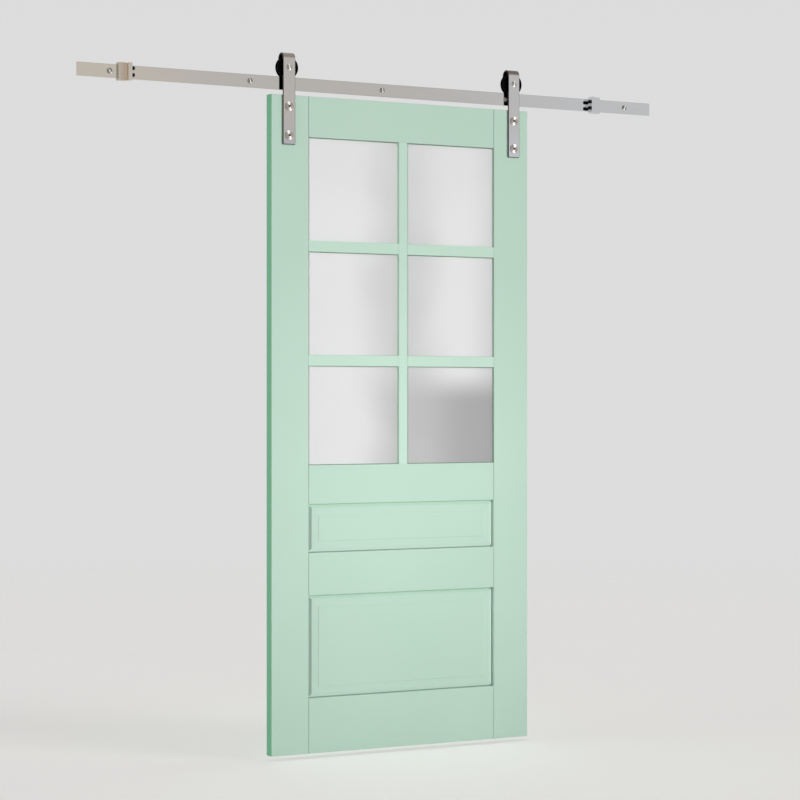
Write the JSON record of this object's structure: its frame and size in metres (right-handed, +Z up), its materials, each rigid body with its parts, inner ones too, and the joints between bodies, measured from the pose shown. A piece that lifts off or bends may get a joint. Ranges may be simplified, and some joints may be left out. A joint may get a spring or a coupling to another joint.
{
  "type": "sliding barn door",
  "caption": "Painted panelled door leaf with frosted panes over raised panels, hung from strap hangers whose grooved wheels roll along a flat wall bar between rubber-tipped stops.",
  "frame": {"origin": "on the axis of the middle wall screw, in the plane of the wall, which is the back face of the spacers", "axes": "+X along the bar to the right as seen from the room, +Y into the wall, +Z up"},
  "size_m": [1.99, 0.102, 2.129],
  "materials": {
    "brushed_stainless": "satin, brushed lengthwise",
    "black_rubber": "matt",
    "mint_paint": "smooth satin paint",
    "bare_beech": "bare wood",
    "frosted_glass": "frosted",
    "black_nylon": "satin",
    "bearing_steel": "polished",
    "pale_nylon": "matt"
  },
  "bodies": {
    "track": {"wall_bar": "brushed_stainless", "wall_spacer_1": "brushed_stainless", "wall_spacer_2": "brushed_stainless", "wall_spacer_3": "brushed_stainless", "wall_spacer_4": "brushed_stainless", "wall_spacer_5": "brushed_stainless", "lag_screws": "brushed_stainless", "left_stop_body": "brushed_stainless", "left_stop_clamp_plate": "brushed_stainless", "left_stop_upper_bumper": "black_rubber", "left_stop_lower_bumper": "black_rubber", "right_stop_body": "brushed_stainless", "right_stop_clamp_plate": "brushed_stainless", "right_stop_upper_bumper": "black_rubber", "right_stop_lower_bumper": "black_rubber", "stop_clamp_screws": "brushed_stainless"},
    "leaf": {"left_stile": "mint_paint", "right_stile": "mint_paint", "top_rail": "mint_paint", "lock_rail": "mint_paint", "cross_rail": "mint_paint", "bottom_rail": "mint_paint", "dowels": "bare_beech", "vertical_glazing_bar": "mint_paint", "upper_left_glazing_bar": "mint_paint", "upper_right_glazing_bar": "mint_paint", "lower_left_glazing_bar": "mint_paint", "lower_right_glazing_bar": "mint_paint", "upper_left_pane": "frosted_glass", "upper_right_pane": "frosted_glass", "middle_left_pane": "frosted_glass", "middle_right_pane": "frosted_glass", "lower_left_pane": "frosted_glass", "lower_right_pane": "frosted_glass", "upper_left_pane_frame": "mint_paint", "upper_right_pane_frame": "mint_paint", "middle_left_pane_frame": "mint_paint", "middle_right_pane_frame": "mint_paint", "lower_left_pane_frame": "mint_paint", "lower_right_pane_frame": "mint_paint", "upper_raised_panel": "mint_paint", "lower_raised_panel": "mint_paint", "left_hanger_strap": "brushed_stainless", "right_hanger_strap": "brushed_stainless", "left_bearing_inner_race": "bearing_steel", "right_bearing_inner_race": "bearing_steel", "axle_bolts": "brushed_stainless", "axle_sleeves": "brushed_stainless", "axle_nuts": "brushed_stainless", "door_bolts": "brushed_stainless", "barrel_nuts": "brushed_stainless"},
    "left_wheel_set": {"left_wheel": "black_nylon", "left_bearing_outer_race": "bearing_steel"},
    "right_wheel_set": {"right_wheel": "black_nylon", "right_bearing_outer_race": "bearing_steel"},
    "left_ball_set": {"left_bearing_cage": "pale_nylon", "left_bearing_balls": "bearing_steel"},
    "right_ball_set": {"right_bearing_cage": "pale_nylon", "right_bearing_balls": "bearing_steel"}
  },
  "joints": [
    {"name": "door_slide", "type": "slide", "parent": "track", "child": "leaf", "axis": [1, 0, 0], "range_m": [-0.4782, 0.2617]},
    {"name": "left_wheel_roll", "type": "hinge", "parent": "leaf", "child": "left_wheel_set", "pos_m": [-0.3245, -0.035, 0.0483], "axis": [0, 1, 0], "continuous": true},
    {"name": "right_wheel_roll", "type": "hinge", "parent": "leaf", "child": "right_wheel_set", "pos_m": [0.4655, -0.035, 0.0483], "axis": [0, 1, 0], "continuous": true},
    {"name": "left_balls_roll", "type": "hinge", "parent": "leaf", "child": "left_ball_set", "pos_m": [-0.3245, -0.035, 0.0483], "axis": [0, 1, 0], "continuous": true},
    {"name": "right_balls_roll", "type": "hinge", "parent": "leaf", "child": "right_ball_set", "pos_m": [0.4655, -0.035, 0.0483], "axis": [0, 1, 0], "continuous": true}
  ],
  "couplings": [
    {"joint": "left_wheel_roll", "follows": "door_slide", "rad_per_m": 35.714},
    {"joint": "right_wheel_roll", "follows": "door_slide", "rad_per_m": 35.714},
    {"joint": "left_balls_roll", "follows": "door_slide", "rad_per_m": 21.964},
    {"joint": "right_balls_roll", "follows": "door_slide", "rad_per_m": 21.964}
  ]
}
